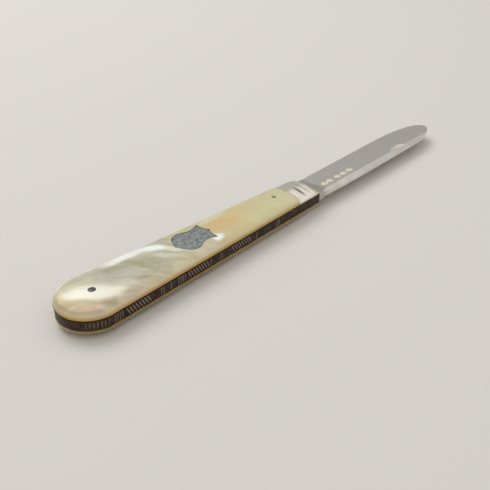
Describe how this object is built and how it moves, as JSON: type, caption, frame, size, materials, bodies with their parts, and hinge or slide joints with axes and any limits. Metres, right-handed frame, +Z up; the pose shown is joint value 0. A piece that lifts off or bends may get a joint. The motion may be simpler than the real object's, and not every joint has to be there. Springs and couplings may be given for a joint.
{
  "type": "folding pocket knife",
  "caption": "Slip-joint folding fruit knife, open: round-ended blade, pearl scales with an inlaid shield, silver bolsters and an engraved back spring.",
  "frame": {"origin": "the middle of the flat face that the open knife lies on, which is the outer face of the pile side scale", "axes": "+X runs along the open knife from the butt to the blade's tip, +Y points to the slot side, where the blade's edge is, and +Z points up through the mark side"},
  "size_m": [0.1295, 0.0149, 0.0065],
  "materials": {
    "mother_of_pearl": "polished, cloudy",
    "silver": "worn polish",
    "worn_silver": "dull, scratched",
    "spring_steel": "aged, engraved",
    "liner_brass": "tarnished",
    "pin_steel": "aged"
  },
  "bodies": {
    "handle": {"pile_side_scale": "mother_of_pearl", "pile_side_liner": "liner_brass", "pile_side_bolster": "silver", "backspring": "spring_steel", "mark_side_liner": "liner_brass", "mark_side_bolster": "silver", "mark_side_scale": "mother_of_pearl", "shield": "worn_silver", "shield_rivets": "worn_silver", "pivot_pin": "silver", "butt_pin": "pin_steel", "centre_pin": "pin_steel", "mark_side_front_pin": "pin_steel", "pile_side_front_pin": "pin_steel"},
    "blade": {"blade": "silver"}
  },
  "joints": [
    {"name": "blade_hinge", "type": "hinge", "parent": "handle", "child": "blade", "pos_m": [0.03615, -0.00039, 0.0032], "axis": [0, 0, 1], "range_deg": [0, 174], "deforming": ["backspring"]}
  ]
}
